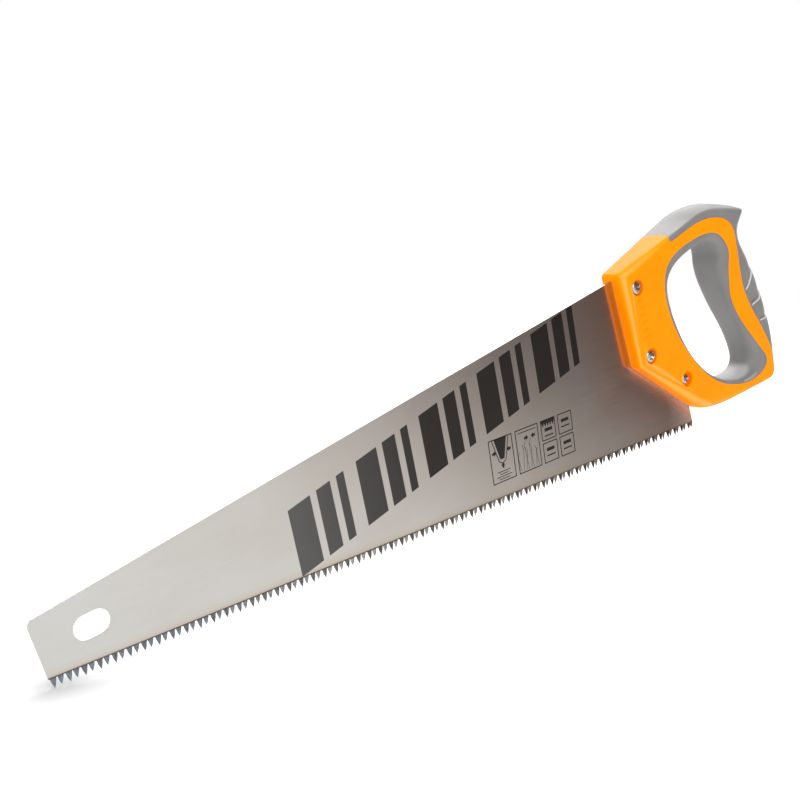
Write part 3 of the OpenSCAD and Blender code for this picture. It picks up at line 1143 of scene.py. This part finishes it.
def finger_lining():
    lining = filleted("finger_lining_skin", HANDLE)
    boolean(lining, region("lining", LINING_EDGE, -SEAM / 2), operation="INTERSECT")
    boolean(lining, opening())
    # Painted light on the opening's upward faces
    mark_painted_light(lining, upward_painted_light)
    soften(lining)
    return finish_piece(lining, RUBBER, "grip_rubber", "finger_lining")


# ---------------------------------------------------------------- stage, lights, camera

# The saw leans on the tip of its first tooth, so the floor is tilted in the saw's frame.
FLOOR_NORMAL = Vector((0.167, 0, 0.986)).normalized()


def stage():
    toe_tip = (Vector((-BLADE_LEN, 0, -TOOTH_DEPTH)) - GRIP) * MM
    bpy.ops.mesh.primitive_circle_add(vertices=128, radius=4, fill_type="NGON")
    floor = bpy.context.object
    floor.name = "floor"
    floor.rotation_mode = "QUATERNION"
    floor.rotation_quaternion = Vector((0, 0, 1)).rotation_difference(FLOOR_NORMAL)
    floor.location = toe_tip
    floor.data.materials.append(floor_paint())
    floor.visible_glossy = False


def area_light(name, at, aim, size, power):
    """A round soft light. Places and sizes are in metres."""
    data = bpy.data.lights.new(name, "AREA")
    data.shape, data.size, data.energy = "DISK", size, power
    light = bpy.data.objects.new(name, data)
    bpy.context.scene.collection.objects.link(light)
    light.location = at
    light.rotation_euler = (Vector(aim) - Vector(at)).to_track_quat("-Z", "Y").to_euler()


# Middle of the studio's dark side as a direction, and how bright the studio is to surfaces
# and to reflections
DARK_SIDE = Vector((0.676, 0, 0.737)).normalized()
DIFFUSE_LEVEL = 0.72
GLOSSY_LEVEL = 1.25


def world():
    """A white studio. Only reflections show its dark side, up past the handle."""
    scene = bpy.context.scene
    scene.world = bpy.data.worlds.new("studio")
    scene.world.use_nodes = True
    tree = scene.world.node_tree
    coords = node(tree, "ShaderNodeTexCoord")
    aim = node(tree, "ShaderNodeVectorMath", operation="DOT_PRODUCT")
    aim.inputs[1].default_value = DARK_SIDE
    tree.links.new(coords.outputs["Generated"], aim.inputs[0])
    part = rescale(tree, aim.outputs["Value"], -0.2, 1)
    dark = ramp(tree, part, (0.08, (0.87, 0.87, 0.86)), (0.25, (0.8, 0.765, 0.73)),
                (0.31, (0.63, 0.59, 0.56)), (0.345, (0.5, 0.45, 0.41)),
                (0.375, (0.36, 0.31, 0.28)), (0.41, (0.235, 0.195, 0.18)),
                (0.44, (0.165, 0.13, 0.12)), (0.48, (0.13, 0.1, 0.09)),
                (0.9, (0.2, 0.17, 0.16)))
    split = node(tree, "ShaderNodeSeparateXYZ")
    tree.links.new(coords.outputs["Generated"], split.inputs["Vector"])
    near_side = mix(tree, rescale(tree, split.outputs["Y"], -0.4, -0.1), dark, (0.85, 0.85, 0.85))
    path = node(tree, "ShaderNodeLightPath")
    shown = multiply(tree, near_side, (GLOSSY_LEVEL,) * 3)
    lit = mix(tree, path.outputs["Is Glossy Ray"], (DIFFUSE_LEVEL,) * 3, shown)
    seen = mix(tree, path.outputs["Is Camera Ray"], lit, (1, 1, 1))
    background = tree.nodes["Background"]
    tree.links.new(seen, background.inputs["Color"])
    background.inputs["Strength"].default_value = 1


def camera():
    """A 50 mm lens, beyond the toe on the saw's near side."""
    data = bpy.data.cameras.new("camera")
    data.lens, data.sensor_width = 50, 36
    cam = bpy.data.objects.new("camera", data)
    bpy.context.scene.collection.objects.link(cam)
    cam.location = (-0.633, -0.4615, 0.1275)
    cam.rotation_euler = [math.radians(turn) for turn in (77.018, 7.557, -38.334)]
    bpy.context.scene.camera = cam


stage()
world()
camera()
area_light("key", at=(0.45, 0.5, 0.75), aim=(0, 0, 0.03), size=0.9, power=7)
area_light("top", at=(-0.45, -0.1, 1.2), aim=(0, 0, 0), size=0.7, power=8.5)
area_light("fill", at=(-0.7, -1.2, 0.75), aim=(-0.1, 0, 0), size=1, power=7.5)
bpy.context.scene.view_settings.view_transform = "Standard"

blade()
handle_core()
palm_grip()
finger_lining()
slanted_bars()
sign_boxes()
for number, key in enumerate(SCREWS):
    screw(key, turn=20 + 35 * number)
    nut(key, turn=50 + 25 * number)
